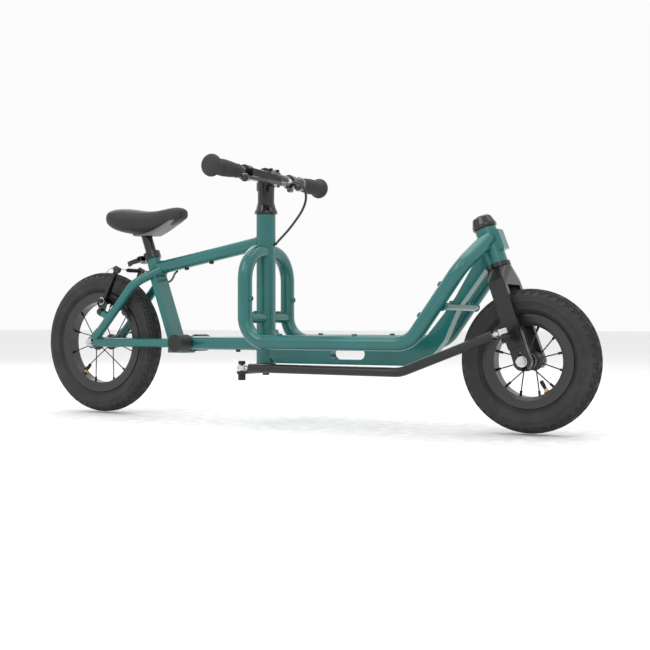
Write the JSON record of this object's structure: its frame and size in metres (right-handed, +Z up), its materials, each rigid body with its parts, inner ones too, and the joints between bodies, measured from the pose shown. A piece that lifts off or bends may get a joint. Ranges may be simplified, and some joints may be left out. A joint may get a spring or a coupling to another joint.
{
  "type": "cargo balance bike",
  "caption": "Child's two-wheeled balance bike with a low cargo bed of bent tubes, hoop, rod-linked front steering, saddle, rear rim brake and foot pegs.",
  "frame": {"origin": "on the ground in the middle of the bike's overall box, between the two tyres' contact points", "axes": "+X forward to the small front wheel, +Y to the rider's left, +Z up"},
  "size_m": [1.2433, 0.406, 0.5018],
  "materials": {
    "frame_paint": "gloss teal powder coat",
    "black_alloy": "gloss black anodised alloy",
    "black_steel": "satin black powder coat",
    "wheel_black": "satin black",
    "spoke_black": "black steel wire",
    "tyre": "matt dark grey rubber",
    "inner_tube": "matt butyl rubber",
    "peg_rubber": "matt moulded rubber",
    "grip_rubber": "matt soft rubber",
    "hose": "semi-gloss cable housing",
    "saddle_cover": "smooth synthetic cover",
    "saddle_shell": "moulded grey",
    "screws": "black screws",
    "chrome": "bright plated steel",
    "brake_alloy": "gloss black",
    "bell_plastic": "gloss black"
  },
  "bodies": {
    "frame": {"column_tube": "frame_paint", "headset_cups": "black_alloy", "main_tube": "frame_paint", "top_tube": "frame_paint", "seat_tube": "frame_paint", "crank_shell": "frame_paint", "foot_pegs": "peg_rubber", "chain_stays": "frame_paint", "seat_stays": "frame_paint", "dropouts": "frame_paint", "hoop": "frame_paint", "cross_tubes": "frame_paint", "rail_left": "frame_paint", "rail_right": "frame_paint", "keel_beam": "frame_paint", "down_tube": "frame_paint", "head_tube": "frame_paint", "head_plate": "frame_paint", "rack_bosses": "frame_paint", "cage_bolts": "screws", "seat_collar": "black_alloy", "rear_axle": "chrome", "brake_cable_rear": "hose"},
    "seat": {"seatpost": "black_steel", "saddle": "saddle_cover", "saddle_base": "saddle_shell"},
    "quick_release": {"quick_lever": "black_alloy"},
    "cockpit": {"steerer": "black_alloy", "headset_cover": "black_alloy", "stem_clamp": "black_alloy", "stem_faceplate": "black_alloy", "cockpit_bolts": "screws", "handlebar": "black_alloy", "grips": "grip_rubber", "lever_perch": "black_alloy", "bell": "bell_plastic", "steering_arm": "black_steel", "brake_cable_front": "hose"},
    "lever": {"brake_lever": "black_alloy"},
    "swivel": {"link_ball": "chrome"},
    "link": {"link_rod": "black_steel", "link_rod_ends": "chrome"},
    "fork": {"fork_crown": "black_steel", "fork_blades": "black_steel", "fork_cap": "black_alloy", "fork_arm": "black_steel", "fork_ball": "screws", "front_axle": "chrome"},
    "front_wheel": {"front_tyre": "tyre", "front_rim": "wheel_black", "front_hub": "wheel_black", "front_spokes": "spoke_black", "front_tube": "inner_tube"},
    "rear_wheel": {"rear_tyre": "tyre", "rear_rim": "wheel_black", "rear_hub": "wheel_black", "rear_spokes": "spoke_black", "rear_tube": "inner_tube"},
    "left_brake": {"brake_arm_left": "brake_alloy"},
    "right_brake": {"brake_arm_right": "brake_alloy"}
  },
  "joints": [
    {"name": "steering", "type": "hinge", "parent": "frame", "child": "cockpit", "pos_m": [-0.05025, 0, 0.26], "axis": [0, 0, 1], "range_deg": [-20, 20]},
    {"name": "fork_steer", "type": "hinge", "parent": "frame", "child": "fork", "pos_m": [0.43575, 0, 0.296], "axis": [-0.3486, 0, 0.9373], "range_deg": [-21, 21]},
    {"name": "link_yaw", "type": "hinge", "parent": "cockpit", "child": "swivel", "pos_m": [-0.05525, -0.077, 0.107], "axis": [0, 0, 1], "range_deg": [-21, 21]},
    {"name": "link_pitch", "type": "hinge", "parent": "swivel", "child": "link", "pos_m": [-0.05525, -0.077, 0.107], "axis": [0, -1, 0], "range_deg": [-2, 2]},
    {"name": "front_wheel_spin", "type": "hinge", "parent": "fork", "child": "front_wheel", "pos_m": [0.49475, 0, 0.127], "axis": [0, 1, 0], "continuous": true},
    {"name": "rear_wheel_spin", "type": "hinge", "parent": "frame", "child": "rear_wheel", "pos_m": [-0.46925, 0, 0.1525], "axis": [0, 1, 0], "continuous": true},
    {"name": "brake_lever_pull", "type": "hinge", "parent": "cockpit", "child": "lever", "pos_m": [-0.00325, -0.028, 0.463], "axis": [0, 0, -1], "range_deg": [0, 14], "stiffness_Nm_per_rad": 0.6},
    {"name": "left_brake_arm", "type": "hinge", "parent": "frame", "child": "left_brake", "pos_m": [-0.43825, 0.04, 0.214], "axis": [0.9063, 0, -0.4226], "range_deg": [-0.2, 2.6]},
    {"name": "right_brake_arm", "type": "hinge", "parent": "frame", "child": "right_brake", "pos_m": [-0.43825, -0.04, 0.214], "axis": [-0.9063, 0, 0.4226], "range_deg": [-0.2, 2.6]},
    {"name": "seat_height", "type": "slide", "parent": "frame", "child": "seat", "axis": [-0.342, 0, 0.9397], "range_m": [0, 0.02]},
    {"name": "quick_release_lever", "type": "hinge", "parent": "frame", "child": "quick_release", "pos_m": [-0.35808, -0.0138, 0.32784], "axis": [-0.342, 0, 0.9397], "range_deg": [0, 150]}
  ],
  "couplings": [
    {"joint": "fork_steer", "follows": "steering", "ratio": 1.016},
    {"joint": "link_yaw", "follows": "steering", "ratio": -1},
    {"joint": "link_pitch", "follows": "steering", "ratio": 0.0515},
    {"joint": "left_brake_arm", "follows": "brake_lever_pull", "ratio": 0.18},
    {"joint": "right_brake_arm", "follows": "brake_lever_pull", "ratio": 0.18}
  ]
}
